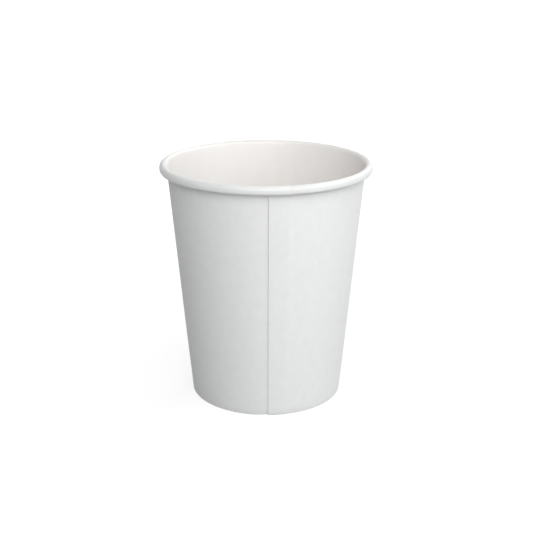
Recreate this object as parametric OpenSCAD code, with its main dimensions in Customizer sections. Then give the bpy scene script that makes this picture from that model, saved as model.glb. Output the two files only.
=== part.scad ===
// A single-wall paper cup for hot drinks, standing upright on its foot.
// Millimetres. Z is up, and the origin is the centre of the foot on the table.
// The side seam faces -Y.

/* [Cup] */
// Height from the table to the top of the rim
cup_height = 91; // [80:0.5:110]
// Diameter over the rolled rim
rim_diameter = 80; // [77:0.5:90]
// Diameter of the wall at the table
base_diameter = 58; // [50:0.5:62]

/* [Board] */
// Thickness of the sidewall board
board_thickness = 0.35; // [0.28:0.01:0.4]
// Thickness of the bottom board
bottom_thickness = 0.3; // [0.24:0.01:0.4]
// Gap that the melted coating fills between sealed layers
seal_gap = 0.03; // [0.02:0.01:0.06]

/* [Rolled rim] */
// Radius of the bend over the top of the rim, on its visible face
rim_top_radius = 1.5; // [1.3:0.05:1.8]
// Straight drop down the outside of the rim
rim_drop = 0.65; // [0.4:0.05:1.2]
// Gap between the edge tucked under the rim and the wall at the seam
rim_tuck_gap = 0.05; // [0.03:0.01:0.2]
// Turn of the tucked edge, from the outside of the rim to its raw end
rim_tuck_turn = 185; // [120:5:200]
// Growth of the top bend's radius where the roll holds two layers
rim_swell = 0.06; // [0.02:0.01:0.1]

/* [Side seam] */
// Angle from the front (-Y) to the raw edge of the outer layer, to the right
seam_angle = 1.1; // [-30:0.1:30]
// Arc over which the two edges of the blank lap
lap_angle = 12; // [8:0.5:16]
// Arc over which the outer layer comes back down past the hidden edge
ramp_angle = 8; // [6:0.5:12]
// Thickness that the seam clamp presses out of the lap at the hidden edge
lap_press = 0.04; // [0.02:0.01:0.06]
// Depth to which the two layers of the lap are bonded into each other
lap_bond = 0.08; // [0.08:0.01:0.14]

/* [Foot] */
// Height of the underside of the bottom above the table
recess_height = 6.5; // [5:0.1:12]
// Gap between the bottom and the raw edge of the folded-in skirt below it
skirt_gap = 1; // [0.8:0.1:2]
// Inner radius of the bends in the fold
fold_radius = 0.1; // [0.06:0.01:0.15]
// Outer radius of the bend between the bottom and its flange
flange_radius = 0.8; // [0.5:0.05:0.9]
// Gap between the flange's raw edge and the inside of the fold
flange_gap = 0.7; // [0.3:0.1:1.5]

/* [Hidden] */
$fn = 144;
// Direction that the seam faces
front = -90;
// Largest turn from point to point along a bend in a section
bend_step = 12;
// Distance by which a cutting block reaches past what it cuts
margin = 10;
// Direction on the roll from which its swell over the lap is full
swell_start = 135;
// Turn by which the hidden edge under the rim ends before the outer one
hidden_tuck = 10;
// Turn by which the wall under the ramp is cut off inside the lap
edge_inset = 0.3;
// Turn by which the ramp starts inside the lap
ramp_overlap = 0.5;
// Distance before the meeting of the ramp's cone with the wall's
ramp_trim = 0.5;
board_colour = "#eceef0";
bottom_colour = "#e9eae8";

rim_radius = rim_diameter / 2;
base_radius = base_diameter / 2;
lap_thickness = 2 * board_thickness;
lap_step = board_thickness - lap_press;
pocket = bottom_thickness + 2 * seal_gap;
skirt_height = recess_height - skirt_gap;
flange_height = board_thickness + flange_gap;
floor_height = recess_height + bottom_thickness;

// The wall's outer face runs from the table to the roll, and touches the roll's
// inner face. That tangent sets how far the wall leans out.
roll_reach = rim_radius - rim_top_radius - base_radius;
roll_rise = cup_height - rim_top_radius;
roll_distance = norm([roll_reach, roll_rise]);
roll_turn = asin((rim_top_radius - board_thickness) / roll_distance);
lean = 90 - atan2(roll_rise, roll_reach) - roll_turn;

// The tucked edge fills the room between the outside of the rim and the wall.
tuck_height = roll_rise - rim_drop;
tuck_room = rim_radius - wall_radius(tuck_height, lap_thickness) - rim_tuck_gap;
rim_tuck_radius = tuck_room / 2;
rim_underside = tuck_height - rim_tuck_radius;

// Directions of the edges of the lap, and of the end of the ramp beyond it.
outer_edge = front + seam_angle;
inner_edge = outer_edge + lap_angle;
ramp_end = inner_edge + ramp_angle;

// The outer layer comes down along a cone like the wall's, on an axis moved a
// little sideways. The two cones meet in the plane midway between the axes, and
// the ramp is trimmed just before it, where it has all but reached the wall.
mid_radius = wall_radius(cup_height / 2, board_thickness);
ramp_top = polar(mid_radius + lap_step, inner_edge);
ramp_foot = polar(mid_radius, ramp_end);
ramp_chord = ramp_foot - ramp_top;
ramp_middle = (ramp_foot + ramp_top) / 2;
ramp_normal = [ramp_chord[1], -ramp_chord[0]] / norm(ramp_chord);
ramp_reach = sqrt(pow(mid_radius, 2) - pow(norm(ramp_chord) / 2, 2));
ramp_axis = ramp_middle - ramp_normal * ramp_reach;

function polar(radius, angle) = [radius * cos(angle), radius * sin(angle)];

// Points along a bend whose radius grows or shrinks evenly, and along a round one.
function spiral(centre, start_radius, end_radius, from, to) =
    let (steps = ceil(abs(to - from) / bend_step))
    [
        for (i = [0:steps])
            centre + polar(
                start_radius + (end_radius - start_radius) * i / steps,
                from + (to - from) * i / steps
            )
    ];
function bend(centre, radius, from, to) = spiral(centre, radius, radius, from, to);

// Radius at a height on a face that lies a distance outside the wall's inner face.
function wall_radius(z, outside) =
    base_radius + z * tan(lean) + (outside - board_thickness) / cos(lean);
function wall_point(z, outside) = [wall_radius(z, outside), z];

// Centres of the bends: over the rim, under the rim, and on both sides of the foot.
function roll_centre(swell) =
    [rim_radius - rim_top_radius, roll_rise] + swell * [cos(lean), -sin(lean)];
function tuck_centre(swell) =
    [rim_radius + swell * (1 + cos(lean)) - rim_tuck_radius, tuck_height];
function heel_centre(thick) = wall_point(thick + fold_radius, -fold_radius);
function toe_centre(thick) = wall_point(thick + fold_radius, fold_radius - pocket);

// One face of the board, from the skirt's raw edge round the foot and up the wall.
// It lies a depth under the face that the drink wets, in a board of that thickness.
function foot_and_wall(depth, thick) = concat(
    [wall_point(skirt_height, -pocket - depth)],
    bend(toe_centre(thick), fold_radius + depth, 180 - lean, 270),
    bend(heel_centre(thick), fold_radius + depth, 270, 360 - lean)
);

// The same face going on over the rim, down and round to the edge tucked under it.
function rolled_rim(depth, swell, turn) = concat(
    bend(roll_centre(swell), rim_top_radius + swell - depth, 180 - lean, 0),
    bend(tuck_centre(swell), rim_tuck_radius - depth, 0, -turn)
);

function reversed(points) = [for (i = [len(points) - 1:-1:0]) points[i]];

// Section through one layer of board, from the skirt's raw edge to the rim's.
function board_section() = concat(
    foot_and_wall(0, board_thickness),
    rolled_rim(0, 0, rim_tuck_turn),
    reversed(rolled_rim(board_thickness, 0, rim_tuck_turn)),
    reversed(foot_and_wall(board_thickness, board_thickness))
);

// Section through what the lap adds: an outer layer bonded to the wall, the skirt
// and the inside of the roll, and the swell of the roll's visible face over it.
function lap_section() =
    let (bond_depth = board_thickness - lap_bond)
    let (turn = rim_tuck_turn - hidden_tuck)
    let (radius = rim_top_radius + rim_swell)
    concat(
        foot_and_wall(bond_depth, board_thickness),
        spiral(roll_centre(rim_swell), radius - bond_depth, radius, 180 - lean, swell_start),
        bend(roll_centre(rim_swell), radius, swell_start, 0),
        bend(tuck_centre(rim_swell), rim_tuck_radius, 0, -turn),
        reversed(rolled_rim(lap_thickness, rim_swell, turn)),
        reversed(foot_and_wall(lap_thickness, lap_thickness))
    );

// Section through the outer layer where it comes down, from the foot to inside the roll.
function ramp_section() = concat(
    [[heel_centre(board_thickness)[0], board_thickness]],
    bend(heel_centre(board_thickness), fold_radius + board_thickness, 270, 360 - lean),
    [wall_point(tuck_height, board_thickness)],
    [wall_point(tuck_height, 0)],
    [wall_point(board_thickness, 0)]
);

// Upright block from an angle to where the ramp is trimmed.
module ramp_block(from, low, high) {
    near = base_radius - margin;
    far = rim_radius + margin;
    aside = ramp_axis / norm(ramp_axis);
    along = [-aside[1], aside[0]];
    trim = ramp_axis / 2 + ramp_trim * aside;
    translate([0, 0, low])
        linear_extrude(high - low)
            polygon([polar(near, from), polar(far, from), trim + far * along, trim + near * along]);
}

// One layer of board all round, without the stretch of wall that the ramp replaces.
module single_layer() {
    difference() {
        rotate_extrude()
            polygon(board_section());
        ramp_block(inner_edge - edge_inset, floor_height, rim_underside);
    }
}

// The outer layer over the lap, rolled and folded together with the inner one.
module lapped_layer() {
    rotate_extrude(start = outer_edge, angle = lap_angle)
        polygon(lap_section());
}

// The outer layer beyond the hidden edge.
module ramped_layer() {
    intersection() {
        translate(ramp_axis)
            rotate_extrude()
                polygon(ramp_section());
        ramp_block(inner_edge - ramp_overlap, -margin, cup_height);
    }
}

// The sidewall: one blank, wrapped, lapped, rolled at the rim and folded at the foot.
module side_wall() {
    color(board_colour)
        union() {
            single_layer();
            lapped_layer();
            ramped_layer();
        }
}

// Section through the bottom, from its middle over the bend to the flange's edge.
function bottom_section() =
    let (centre = wall_point(floor_height - flange_radius, -seal_gap - flange_radius))
    concat(
        [[0, recess_height]],
        bend(centre, flange_radius - bottom_thickness, 90, -lean),
        [wall_point(flange_height, -seal_gap - bottom_thickness)],
        [wall_point(flange_height, -seal_gap)],
        bend(centre, flange_radius, -lean, 90),
        [[0, floor_height]]
    );

// The bottom: one round blank, with its edge turned down between wall and skirt.
module bottom_disc() {
    color(bottom_colour)
        rotate_extrude()
            polygon(bottom_section());
}

side_wall();
bottom_disc();
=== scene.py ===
import math

import bpy
import numpy as np
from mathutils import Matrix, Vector


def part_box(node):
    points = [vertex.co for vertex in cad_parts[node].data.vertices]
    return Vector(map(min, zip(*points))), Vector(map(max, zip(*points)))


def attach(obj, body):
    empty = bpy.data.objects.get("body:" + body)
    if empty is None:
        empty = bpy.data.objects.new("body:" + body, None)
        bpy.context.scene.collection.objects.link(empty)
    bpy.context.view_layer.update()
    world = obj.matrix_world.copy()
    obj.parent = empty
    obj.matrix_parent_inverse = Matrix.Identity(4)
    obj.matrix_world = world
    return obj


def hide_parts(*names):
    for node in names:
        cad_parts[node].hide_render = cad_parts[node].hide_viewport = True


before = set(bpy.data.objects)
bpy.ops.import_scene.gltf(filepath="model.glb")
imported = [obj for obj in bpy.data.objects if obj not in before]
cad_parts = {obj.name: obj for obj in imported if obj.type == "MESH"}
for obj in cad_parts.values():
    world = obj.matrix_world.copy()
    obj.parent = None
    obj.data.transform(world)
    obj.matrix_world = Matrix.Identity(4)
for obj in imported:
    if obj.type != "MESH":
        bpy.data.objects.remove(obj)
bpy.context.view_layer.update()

# Side wall
# One fan-shaped blank of cup board, white clay on the outside and a plastic film on the inside.
# It is wrapped to a cone and heat sealed where its straight edges lap. Its top edge is rolled
# outwards, and its bottom edge is folded in and up and knurled, to grip the bottom.
MM = 0.001
rim_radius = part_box("side_wall")[1].x
cup_height = 91 * MM
foot_radius = 29 * MM
board = 0.35 * MM
bottom_board = 0.3 * MM
seal_gap = 0.03 * MM
pocket = bottom_board + 2 * seal_gap
roll_radius = 1.5 * MM
roll_drop = 0.65 * MM
tuck_radius = 1.157 * MM
tuck_turn = math.radians(185)
fold_radius = 0.1 * MM
skirt_height = 5.5 * MM

# The wall leans out so that its outer face meets the inside of the roll.
roll_reach = rim_radius - roll_radius - foot_radius
roll_rise = cup_height - roll_radius
lean = math.atan2(roll_reach, roll_rise) - math.asin(
    (roll_radius - board) / math.hypot(roll_reach, roll_rise)
)


def wall_point(height, outside):
    """Radius and height of a point that far outside the face that the drink wets."""
    radius = foot_radius + height * math.tan(lean) + (outside - board) / math.cos(lean)
    return radius, height


def around(centre, radius, angle):
    """Radius and height of a point on a bend."""
    return centre[0] + radius * math.cos(angle), centre[1] + radius * math.sin(angle)


def start_section(name, point):
    """A new piece of a single point, in edit mode, from which its section is drawn."""
    bpy.ops.object.select_all(action="DESELECT")
    bpy.ops.mesh.primitive_plane_add(size=MM)
    piece = bpy.context.active_object
    piece.name = piece.data.name = name
    bpy.ops.object.mode_set(mode="EDIT")
    bpy.ops.mesh.select_all(action="SELECT")
    bpy.ops.mesh.merge(type="CENTER")
    bpy.ops.transform.translate(value=(point[0], 0, point[1]))
    return piece


def draw_run(start, end, steps):
    """Draws a straight run of a section from its live end."""
    step = ((end[0] - start[0]) / steps, 0, (end[1] - start[1]) / steps)
    for _ in range(steps):
        bpy.ops.mesh.extrude_region_move(TRANSFORM_OT_translate={"value": step})


def draw_bend(centre, turn, steps):
    """Draws a bend of a section from its live end, anticlockwise where the turn is positive."""
    bpy.ops.mesh.spin(
        steps=steps, angle=turn, center=(centre[0], 0, centre[1]), axis=(0, 1, 0)
    )


def section_order(mesh):
    """Indices of a section's points in order along it, from its first point."""
    neighbours = {vertex.index: [] for vertex in mesh.vertices}
    for edge in mesh.edges:
        first, second = edge.vertices
        neighbours[first].append(second)
        neighbours[second].append(first)
    order = [0]
    while len(order) < len(mesh.vertices):
        order.append(next(i for i in neighbours[order[-1]] if i not in order[-2:]))
    return order


def turn_faces_over():
    """Makes the other side of every face of the active piece its front."""
    bpy.ops.object.mode_set(mode="EDIT")
    bpy.ops.mesh.select_all(action="SELECT")
    bpy.ops.mesh.flip_normals()
    bpy.ops.object.mode_set(mode="OBJECT")


# The wetted face is drawn first: down the skirt, round the fold, up the wall and over the rim.
skirt_edge = wall_point(skirt_height, -pocket)
toe = wall_point(board + fold_radius, fold_radius - pocket)
heel = wall_point(board + fold_radius, -fold_radius)
roll = (rim_radius - roll_radius, roll_rise)
tuck = (rim_radius - tuck_radius, roll_rise - roll_drop)
UP_THE_WALL = math.pi - lean
STEPS = {
    "skirt": 7, "toe": 4, "sole": 1, "heel": 4, "wall": 34, "roll": 16, "drop": 2, "tuck": 13
}

wall = start_section("cup_wall", skirt_edge)
draw_run(skirt_edge, around(toe, fold_radius, UP_THE_WALL), STEPS["skirt"])
draw_bend(toe, math.pi / 2 + lean, STEPS["toe"])
draw_run(
    around(toe, fold_radius, -math.pi / 2),
    around(heel, fold_radius, -math.pi / 2),
    STEPS["sole"],
)
draw_bend(heel, math.pi / 2 - lean, STEPS["heel"])
draw_run(
    around(heel, fold_radius, -lean), around(roll, roll_radius, UP_THE_WALL), STEPS["wall"]
)
draw_bend(roll, -UP_THE_WALL, STEPS["roll"])
draw_run(around(roll, roll_radius, 0), around(tuck, tuck_radius, 0), STEPS["drop"])
draw_bend(tuck, -tuck_turn, STEPS["tuck"])
bpy.ops.object.mode_set(mode="OBJECT")
order = section_order(wall.data)
rows = len(order)

# The blank is wrapped clockwise from its hidden edge, once round and on as far as its outer edge.
COLUMN = math.radians(0.8)
LAP_COLUMNS = 15
TURN_COLUMNS = 450
columns = TURN_COLUMNS + LAP_COLUMNS + 1
SEAM_TURN = math.radians(1.1)
hidden_edge = -math.pi / 2 + SEAM_TURN + LAP_COLUMNS * COLUMN
bpy.ops.object.mode_set(mode="EDIT")
bpy.ops.mesh.select_all(action="SELECT")
bpy.ops.transform.rotate(value=-hidden_edge, orient_axis="Z", center_override=(0, 0, 0))
bpy.ops.mesh.spin(
    steps=columns - 1, angle=-(columns - 1) * COLUMN, center=(0, 0, 0), axis=(0, 0, -1)
)
bpy.ops.object.mode_set(mode="OBJECT")

# Directions in the section of each point: along it, and through the board to its outside.
mesh_points = np.array([vertex.co for vertex in wall.data.vertices])
mesh_points = mesh_points.reshape(columns, rows, 3)
grid = mesh_points[:, order]
heights = grid[0, :, 2]
radii = np.hypot(grid[0, :, 0], grid[0, :, 1])
along = np.stack([np.gradient(radii), np.gradient(heights)], axis=1)
along /= np.linalg.norm(along, axis=1)[:, None]
outside = np.stack([along[:, 1], -along[:, 0]], axis=1)
row = np.arange(rows)
last_row = dict(zip(STEPS, np.cumsum(list(STEPS.values()))))


def fade(value, start, end):
    """0 up to the start, 1 from the end on, and an even curve between them."""
    part = np.clip((value - start) / (end - start), 0, 1)
    return part * part * (3 - 2 * part)


# The seam clamp presses each layer of the lap thinner, and the die that rolls the rim does so more.
CLAMPED_LAYER = 0.30 * MM
ROLLING_PRESS = 0.11 * MM
SEAL_FILM = 0.01 * MM
on_roll = fade(row, last_row["wall"] - 2, last_row["wall"] + 3)
layer = CLAMPED_LAYER - ROLLING_PRESS * on_roll
layer_step = layer + SEAL_FILM

# The outer layer lies on the hidden one over the lap, and comes down tightly beside it.
WALL_COME_DOWN = 4.6 * MM
ROLL_COME_DOWN = 9 * MM
CREST_HEIGHT = 0.02 * MM
CREST_WIDTH = 1.2 * MM
turned = np.arange(columns) * COLUMN
past_edge = (turned - TURN_COLUMNS * COLUMN)[:, None] * radii[None, :]
come_down = WALL_COME_DOWN + (ROLL_COME_DOWN - WALL_COME_DOWN) * on_roll
settling = np.clip(1 + past_edge / come_down, 0, 1) ** 2
crest = CREST_HEIGHT * np.exp(-(past_edge / CREST_WIDTH) ** 2)
lapped = layer_step * settling + crest * (past_edge > -come_down)

# The roll's visible face stands up a little over the lap, and evens out on both sides of it.
ROLL_SWELL = 0.05 * MM
HIDDEN_EDGE_FADE = 6 * MM
first_half = turned[:, None] <= math.pi
roll_face = on_roll * (1 - fade(row, last_row["drop"], last_row["tuck"]))
lap_width = LAP_COLUMNS * COLUMN * radii[None, :]
over_lap = np.where(
    first_half,
    1 - fade(turned[:, None] * radii[None, :], lap_width, lap_width + HIDDEN_EDGE_FADE),
    fade(past_edge, -come_down, 0),
)
lapped = lapped - ROLL_SWELL * roll_face * np.where(first_half, over_lap, settling)

# Two layers stand on the table at the lap, so the fold of the single one is lifted beside it.
LIFT_FADE_START, LIFT_FADE_END = 1 * MM, 6 * MM
low = np.where(row < last_row["heel"], 1, 1 - fade(heights, LIFT_FADE_START, LIFT_FADE_END))
low *= row <= last_row["wall"]
lifted = layer_step * over_lap * low

# The board is slightly uneven along the cone, as wound and heat-sealed paper is.
UNEVENNESS = 0.05 * MM
ROLL_SHARE = 0.3
EVEN_UP_TO, UNEVEN_FROM = 3 * MM, 14 * MM
MOST_SLANT = 120
random = np.random.default_rng(8)
angle = hidden_edge - turned[:, None]
uneven = np.zeros((columns, rows))
for waves in range(3, 15):
    phase = random.uniform(0, 2 * math.pi)
    slant = random.uniform(-MOST_SLANT, MOST_SLANT)
    uneven += random.uniform(0.4, 1) / waves * np.sin(
        waves * angle + slant * heights[None, :] + phase
    )
uneven *= UNEVENNESS / np.abs(uneven).max()
on_wall = (row > last_row["heel"]) * fade(heights, EVEN_UP_TO, UNEVEN_FROM) * (1 - on_roll)
shallow = (uneven - uneven.min()) * ROLL_SHARE
moved = lapped + uneven * on_wall + shallow * on_roll

# Ribs that the knurling wheel presses into the skirt, in a band clear of its fold and its edge.
RIB_COLUMNS = 5
RIB_HEIGHT = 0.09 * MM
ribs = 0.5 - 0.5 * np.cos(2 * math.pi * np.arange(columns) / RIB_COLUMNS)
knurled = (
    (row < last_row["skirt"])
    * fade(heights, 1.2 * MM, 2 * MM)
    * (1 - fade(heights, 4.8 * MM, 5.4 * MM))
)
moved = moved + RIB_HEIGHT * ribs[:, None] * knurled[None, :]

new_radii = radii[None, :] + moved * outside[None, :, 0]
grid = np.stack(
    [
        new_radii * np.cos(angle),
        new_radii * np.sin(angle),
        heights[None, :] + moved * outside[None, :, 1] + lifted,
    ],
    axis=2,
)
mesh_points[:, order] = grid
wall.data.vertices.foreach_set("co", mesh_points.ravel())
wall.data.update()

# The wetted face has to face the drink before the board gets its thickness outwards.
bpy.ops.object.mode_set(mode="EDIT")
bpy.ops.mesh.select_all(action="SELECT")
bpy.ops.mesh.normals_make_consistent(inside=False)
bpy.ops.object.mode_set(mode="OBJECT")
facing = sum(
    face.normal.x * face.center.x + face.normal.y * face.center.y
    for face in wall.data.polygons
    if 20 * MM < face.center.z < 80 * MM
)
if facing > 0:
    turn_faces_over()

# The board's thickness at each point, as a share of the sheet's: less where the lap is pressed.
thickness = wall.vertex_groups.new(name="board_thickness")
pressed = np.empty((columns, rows))
pressed[:, order] = 1 - (1 - layer / board) * over_lap
pressed = pressed.ravel()
thickness.add(np.flatnonzero(pressed == 1).tolist(), 1, "REPLACE")
for index in np.flatnonzero(pressed < 1):
    thickness.add([int(index)], pressed[index], "REPLACE")
solidify = wall.modifiers.new("board", "SOLIDIFY")
solidify.thickness = board
solidify.offset = -1
solidify.vertex_group = thickness.name
solidify.material_offset = 1
solidify.material_offset_rim = 2
solidify.use_even_offset = False


def linear(colour):
    """An sRGB hex colour as Blender's linear one."""
    channels = [int(colour[i:i + 2], 16) / 255 for i in (1, 3, 5)]
    channels = [c / 12.92 if c <= 0.04045 else ((c + 0.055) / 1.055) ** 2.4 for c in channels]
    return (*channels, 1)


def new_material(name):
    """A material with an empty node tree apart from its shader and its output."""
    material = bpy.data.materials.new(name)
    material.use_nodes = True
    return material


def add_node(material, kind, inputs=None, **settings):
    """A node with its settings, and with each input set to a value or linked to an output."""
    tree = material.node_tree
    node = tree.nodes.new(kind)
    for name, value in settings.items():
        setattr(node, name, value)
    for name, value in (inputs or {}).items():
        if isinstance(value, bpy.types.NodeSocket):
            tree.links.new(value, node.inputs[name])
        else:
            node.inputs[name].default_value = value
    return node


def place_on_blank(material):
    """Where a point lay on the flat blank: across its middle line, and along it."""
    turned = add_node(
        material,
        "ShaderNodeMapping",
        {
            "Vector": add_node(material, "ShaderNodeTexCoord").outputs["Object"],
            "Rotation": (0, 0, -SEAM_TURN),
        },
    ).outputs["Vector"]
    part = add_node(material, "ShaderNodeSeparateXYZ", {"Vector": turned}).outputs
    from_back = add_node(
        material, "ShaderNodeMath", {0: part["X"], 1: part["Y"]}, operation="ARCTAN2"
    ).outputs["Value"]
    fan = add_node(
        material, "ShaderNodeMath", {0: from_back, 1: math.sin(lean)}, operation="MULTIPLY"
    ).outputs["Value"]
    apex = (0, 0, -foot_radius / math.tan(lean))
    from_apex = add_node(
        material, "ShaderNodeVectorMath", {0: turned, 1: apex}, operation="DISTANCE"
    ).outputs["Value"]
    sides = []
    for kind in ("SINE", "COSINE"):
        ratio = add_node(material, "ShaderNodeMath", {0: fan}, operation=kind)
        side = add_node(
            material,
            "ShaderNodeMath",
            {0: ratio.outputs["Value"], 1: from_apex},
            operation="MULTIPLY",
        )
        sides.append(side.outputs["Value"])
    flat = add_node(material, "ShaderNodeCombineXYZ", {"X": sides[0], "Y": sides[1]})
    return flat.outputs["Vector"]


def cup_board(name, colours, roughness, cloud, fibre, relief, wrapped=True):
    """A paper board: its tone clouds with the pulp, and a grain of fibres stands on it.

    Clouds and fibres have a width and a length, and lie along the blank as it was cut.
    """
    material = new_material(name)
    shader = material.node_tree.nodes["Principled BSDF"]
    shader.inputs["IOR"].default_value = 1.5
    if wrapped:
        place = place_on_blank(material)
    else:
        place = add_node(material, "ShaderNodeTexCoord").outputs["Object"]
    patterns = []
    for width, length in (cloud, fibre):
        scaled = add_node(
            material,
            "ShaderNodeVectorMath",
            {0: place, 1: (1 / width, 1 / length, 1 / width)},
            operation="MULTIPLY",
        )
        pattern = add_node(
            material,
            "ShaderNodeTexNoise",
            {"Vector": scaled.outputs["Vector"], "Scale": 1, "Detail": 3, "Roughness": 0.6},
        )
        patterns.append(pattern.outputs["Fac"])
    clouds, grain = patterns
    tones = add_node(
        material,
        "ShaderNodeMix",
        {"Factor": clouds, "A": linear(colours[0]), "B": linear(colours[1])},
        data_type="RGBA",
    )
    gloss = add_node(
        material,
        "ShaderNodeMapRange",
        {"Value": clouds, "To Min": roughness[0], "To Max": roughness[1]},
    )
    bump = add_node(
        material, "ShaderNodeBump", {"Height": grain, "Distance": relief, "Strength": 1}
    )
    tree = material.node_tree
    tree.links.new(tones.outputs["Result"], shader.inputs["Base Color"])
    tree.links.new(gloss.outputs["Result"], shader.inputs["Roughness"])
    tree.links.new(bump.outputs["Normal"], shader.inputs["Normal"])
    return material


# Cup board, bleached and clay coated, then calendered: a smooth cool white with a low sheen.
clay_face = cup_board(
    "clay_coated_board",
    colours=("#EDEEEE", "#F7F8F8"),
    roughness=(0.5, 0.6),
    cloud=(2.2 * MM, 4.5 * MM),
    fibre=(0.35 * MM, 1.6 * MM),
    relief=0.011 * MM,
)
# The same board under a film of melted polyethylene: warmer, and glossier than the clay.
FILM = {
    "colours": ("#F0EEEB", "#F5F3F1"),
    "roughness": (0.34, 0.44),
    "cloud": (4 * MM, 9 * MM),
    "fibre": (0.7 * MM, 4 * MM),
    "relief": 0.008 * MM,
}
film_face = cup_board("film_coated_board", **FILM)
# Towards the outside of the roll, the film's tone turns to a cooler, greyer white. This is a
# painted cool reflection, with painted shade that tones down the roll's highlight.
PAINTED_REFLECTION_START = 38.1 * MM
PAINTED_REFLECTION_END = 39.0 * MM
film_nodes = film_face.node_tree.nodes
level_place = add_node(
    film_face,
    "ShaderNodeVectorMath",
    {0: film_nodes["Texture Coordinate"].outputs["Object"], 1: (1, 1, 0)},
    operation="MULTIPLY",
)
reach_out = add_node(
    film_face,
    "ShaderNodeVectorMath",
    {0: level_place.outputs["Vector"]},
    operation="LENGTH",
)
painted_reflection_share = add_node(
    film_face,
    "ShaderNodeMapRange",
    {"Value": reach_out.outputs["Value"], "From Min": PAINTED_REFLECTION_START, "From Max": PAINTED_REFLECTION_END},
    interpolation_type="SMOOTHSTEP",
)
# Mixes the painted cool reflection and painted shade into the roll's outer face.
rim_with_painted_reflection = add_node(
    film_face,
    "ShaderNodeMix",
    {
        "Factor": painted_reflection_share.outputs["Result"],
        "A": film_nodes["Mix"].outputs["Result"],
        "B": linear("#E9EAEA"),
    },
    data_type="RGBA",
)
film_face.node_tree.links.new(
    rim_with_painted_reflection.outputs["Result"], film_nodes["Principled BSDF"].inputs["Base Color"]
)
# The cut edge of the board, where its fibres show: pale tan and quite matt.
cut_edge = cup_board(
    "cut_board_edge",
    colours=("#C6BAA8", "#D8D0C3"),
    roughness=(0.85, 0.95),
    cloud=(1.5 * MM, 1.5 * MM),
    fibre=(0.3 * MM, 0.6 * MM),
    relief=0.02 * MM,
)
for material in (film_face, clay_face, cut_edge):
    wall.data.materials.append(material)
bpy.ops.object.modifier_apply(modifier=solidify.name)

# The knife leaves both cut edges slanted, so that a thread of the board's core shows beside each
# layer's visible face: the outer one's on the outside of the cup, the hidden one's on the inside.
# The roll, pressed thinner, has a little less of it.
EDGE_SLANT = 0.16 * MM
LESS_ON_ROLL = 0.2
slants = np.empty(rows)
slants[order] = EDGE_SLANT * (1 - LESS_ON_ROLL * on_roll)
inside_edge = range(rows)
outside_edge = range((2 * columns - 1) * rows, 2 * columns * rows)
for edge, way in ((inside_edge, -1), (outside_edge, 1)):
    for index, slant in zip(edge, slants):
        point = wall.data.vertices[index].co
        point.xy += Vector((-point.y, point.x)).normalized() * slant * way
wall.data.update()
wall.vertex_groups.clear()
SHARP_EDGE = math.radians(40)
bpy.ops.object.shade_smooth_by_angle(angle=SHARP_EDGE)
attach(wall, "root")
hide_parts("side_wall")

# Bottom
# A round blank of thinner cup board, coated on its upper face only. A plunger draws it to a shallow
# dish whose turned-down flange is sealed between the wall and its skirt, which puckers the bend.
recess_height = 6.5 * MM
floor_height = recess_height + bottom_board
flange_radius = 0.8 * MM
flange_gap = 0.7 * MM
flange_edge = wall_point(board + flange_gap, -seal_gap)
bend_centre = wall_point(floor_height - flange_radius, -seal_gap - flange_radius)
middle = (0, floor_height)
BOTTOM_STEPS = {"disc": 24, "bend": 8, "flange": 5}
BOTTOM_COLUMNS = 360

bottom = start_section("cup_bottom", middle)
draw_run(middle, around(bend_centre, flange_radius, math.pi / 2), BOTTOM_STEPS["disc"])
draw_bend(bend_centre, -(math.pi / 2 + lean), BOTTOM_STEPS["bend"])
draw_run(around(bend_centre, flange_radius, -lean), flange_edge, BOTTOM_STEPS["flange"])
bpy.ops.mesh.select_all(action="SELECT")
bpy.ops.mesh.spin(
    steps=BOTTOM_COLUMNS, angle=2 * math.pi, center=(0, 0, 0), axis=(0, 0, -1)
)
bpy.ops.mesh.select_all(action="SELECT")
bpy.ops.mesh.remove_doubles(threshold=0.001 * MM)
bpy.ops.mesh.normals_make_consistent(inside=False)
bpy.ops.object.mode_set(mode="OBJECT")
facing = sum(
    face.normal.z
    for face in bottom.data.polygons
    if face.center.z > floor_height - 0.1 * MM
)
if facing < 0:
    turn_faces_over()

# The dish is slightly uneven, and shallow puckers run over the bend, each a little different.
SAG = 0.10 * MM
PUCKERS = 70
PUCKER_DEPTH = 0.05 * MM
MOVED_DEPTH = 0.5 * MM
disc = np.array([vertex.co for vertex in bottom.data.vertices])
reach = np.hypot(disc[:, 0], disc[:, 1])
bearing = np.arctan2(disc[:, 1], disc[:, 0])
edge_reach = bend_centre[0]
sag = np.zeros(len(disc))
for waves in range(6):
    size = random.uniform(0.3, 1) / (waves + 1)
    phase = random.uniform(0, 2 * math.pi)
    swing = random.uniform(1, 4)
    round_it = np.sin(waves * bearing + phase) * (reach / edge_reach) ** max(waves, 2)
    sag += size * round_it * np.cos(reach / edge_reach * swing)
sag *= SAG / np.abs(sag).max()
puckers = np.zeros(len(disc))
for _ in range(PUCKERS):
    place = random.uniform(-math.pi, math.pi)
    off = (bearing - place + math.pi) % (2 * math.pi) - math.pi
    width = random.uniform(0.2, 0.5) * MM
    length = random.uniform(0.8, 3) * MM
    puckers += (
        random.uniform(0.3, 1)
        * np.exp(-(off * reach / width) ** 2)
        * fade(reach, edge_reach - length, edge_reach)
    )
puckers *= 1 - fade(-disc[:, 2], -floor_height + flange_radius, -flange_edge[1])
on_dish = disc[:, 2] > floor_height - MOVED_DEPTH
disc[:, 2] += (sag - PUCKER_DEPTH * np.clip(puckers, 0, 1)) * on_dish
bottom.data.vertices.foreach_set("co", disc.ravel())
bottom.data.update()
solidify = bottom.modifiers.new("board", "SOLIDIFY")
solidify.thickness = bottom_board
solidify.offset = -1
solidify.material_offset = 1
solidify.material_offset_rim = 2
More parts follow.
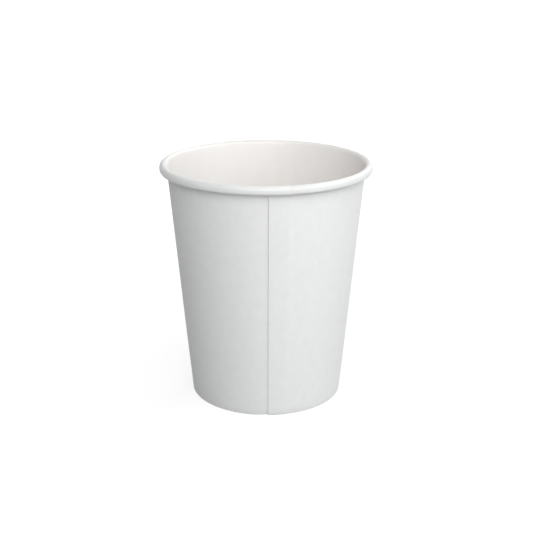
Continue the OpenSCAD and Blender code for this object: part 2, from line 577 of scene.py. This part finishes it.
# Uncoated bleached board under the bottom: rougher, with the pulp's clouds showing more.
bare_face = cup_board(
    "uncoated_board",
    colours=("#E6E4DF", "#F0EEEA"),
    roughness=(0.75, 0.9),
    cloud=(2.5 * MM, 6 * MM),
    fibre=(0.4 * MM, 2.5 * MM),
    relief=0.014 * MM,
    wrapped=False,
)
# The film on its upper face is the wall's, over board whose fibres lie straight across the disc.
film_floor = cup_board("film_coated_bottom_board", wrapped=False, **FILM)
for material in (film_floor, bare_face, cut_edge):
    bottom.data.materials.append(material)
bpy.ops.object.modifier_apply(modifier=solidify.name)
bpy.ops.object.shade_smooth_by_angle(angle=SHARP_EDGE)
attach(bottom, "root")
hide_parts("bottom_disc")

# Table
# A pale sheet of matt paper that the cup stands on. It shows as white apart from the cup's shadow,
# with a glow of its own that hides its tone near the cup and its edge far away.
NEAR_GLOW = 0.77
FULL_GLOW_REACH = 0.35
bpy.ops.object.select_all(action="DESELECT")
bpy.ops.mesh.primitive_plane_add(size=3)
table = bpy.context.active_object
table.name = table.data.name = "table"
# A grey, matt paper as a light sees it, which keeps it from lighting the cup's foot too much.
sheet = new_material("matt_white_paper")
shader = sheet.node_tree.nodes["Principled BSDF"]
shader.inputs["Base Color"].default_value = linear("#8F8F8F")
shader.inputs["Roughness"].default_value = 0.9
tree = sheet.node_tree


def seen_white(owner):
    """A node that gives 1 to the camera and to what a gloss or glass shows, and 0 to light."""
    rays = add_node(owner, "ShaderNodeLightPath").outputs
    shown = add_node(
        owner,
        "ShaderNodeMath",
        {0: rays["Is Camera Ray"], 1: rays["Is Glossy Ray"]},
        operation="MAXIMUM",
    )
    return add_node(
        owner,
        "ShaderNodeMath",
        {0: shown.outputs["Value"], 1: rays["Is Transmission Ray"]},
        operation="MAXIMUM",
    )


from_cup = add_node(
    sheet,
    "ShaderNodeVectorMath",
    {0: add_node(sheet, "ShaderNodeTexCoord").outputs["Object"]},
    operation="LENGTH",
)
brighter = add_node(
    sheet,
    "ShaderNodeMapRange",
    {
        "Value": from_cup.outputs["Value"],
        "From Max": FULL_GLOW_REACH,
        "To Min": NEAR_GLOW,
        "To Max": 1,
    },
    interpolation_type="SMOOTHSTEP",
)
glow = add_node(sheet, "ShaderNodeEmission", {"Strength": brighter.outputs["Result"]})
glowing = add_node(sheet, "ShaderNodeAddShader")
tree.links.new(shader.outputs["BSDF"], glowing.inputs[0])
tree.links.new(glow.outputs["Emission"], glowing.inputs[1])
shown = add_node(
    sheet,
    "ShaderNodeMixShader",
    {
        "Fac": seen_white(sheet).outputs["Value"],
        1: shader.outputs["BSDF"],
        2: glowing.outputs["Shader"],
    },
)
tree.links.new(shown.outputs["Shader"], tree.nodes["Material Output"].inputs["Surface"])
table.data.materials.append(sheet)

# Studio light
# Soft boxes above and behind the camera, two to its right, and one over the back. The room is
# white where the camera, a gloss or glass shows it. As a light it is dim, and keeps the back grey.
def soft_box(name, turn, rise, distance, size, power):
    """A square lamp that faces the cup, turned from the camera to the right and raised."""
    target = Vector((0, 0, cup_height / 2))
    level = distance * math.cos(rise)
    place = target + Vector(
        (level * math.sin(turn), -level * math.cos(turn), distance * math.sin(rise))
    )
    bpy.ops.object.light_add(type="AREA", location=place)
    lamp = bpy.context.active_object
    lamp.name = lamp.data.name = name
    lamp.data.size = size
    lamp.data.energy = power
    lamp.rotation_euler = (target - place).to_track_quat("-Z", "Y").to_euler()


for name, turn, rise, distance, size, power in (
    ("front_lamp", 0, 40, 0.55, 0.4, 1.5),
    ("low_lamp", 0, 20, 1.3, 0.7, 2.8),
    ("right_lamp", 60, 15, 0.55, 0.4, 0.76),
    ("side_lamp", 90, 40, 0.55, 0.4, 0.73),
    ("back_lamp", 150, 35, 1.3, 0.7, 4.2),
):
    soft_box(name, math.radians(turn), math.radians(rise), distance, size, power)

ROOM_LIGHT = 0.2
world = bpy.data.worlds.new("room")
bpy.context.scene.world = world
world.use_nodes = True
backdrop = world.node_tree.nodes["Background"]
backdrop.inputs["Color"].default_value = linear("#FFFFFF")
room = add_node(
    world,
    "ShaderNodeMath",
    {0: seen_white(world).outputs["Value"], 1: ROOM_LIGHT},
    operation="MAXIMUM",
)
world.node_tree.links.new(room.outputs["Value"], backdrop.inputs["Strength"])

# Camera
# A portrait lens at arm's length, a little above the rim, looking down on the seam.
CAMERA_PLACE = (0.12 * MM, -401.99 * MM, 183.15 * MM)
LOOKING_DOWN = 0.3214
LENS = 73.96
SENSOR = 36
bpy.ops.object.camera_add(location=CAMERA_PLACE)
camera = bpy.context.active_object
camera.rotation_euler = (math.pi / 2 - LOOKING_DOWN, 0, 0)
camera.data.lens = LENS
camera.data.sensor_width = SENSOR
bpy.context.scene.camera = camera
bpy.context.scene.view_settings.view_transform = "Standard"
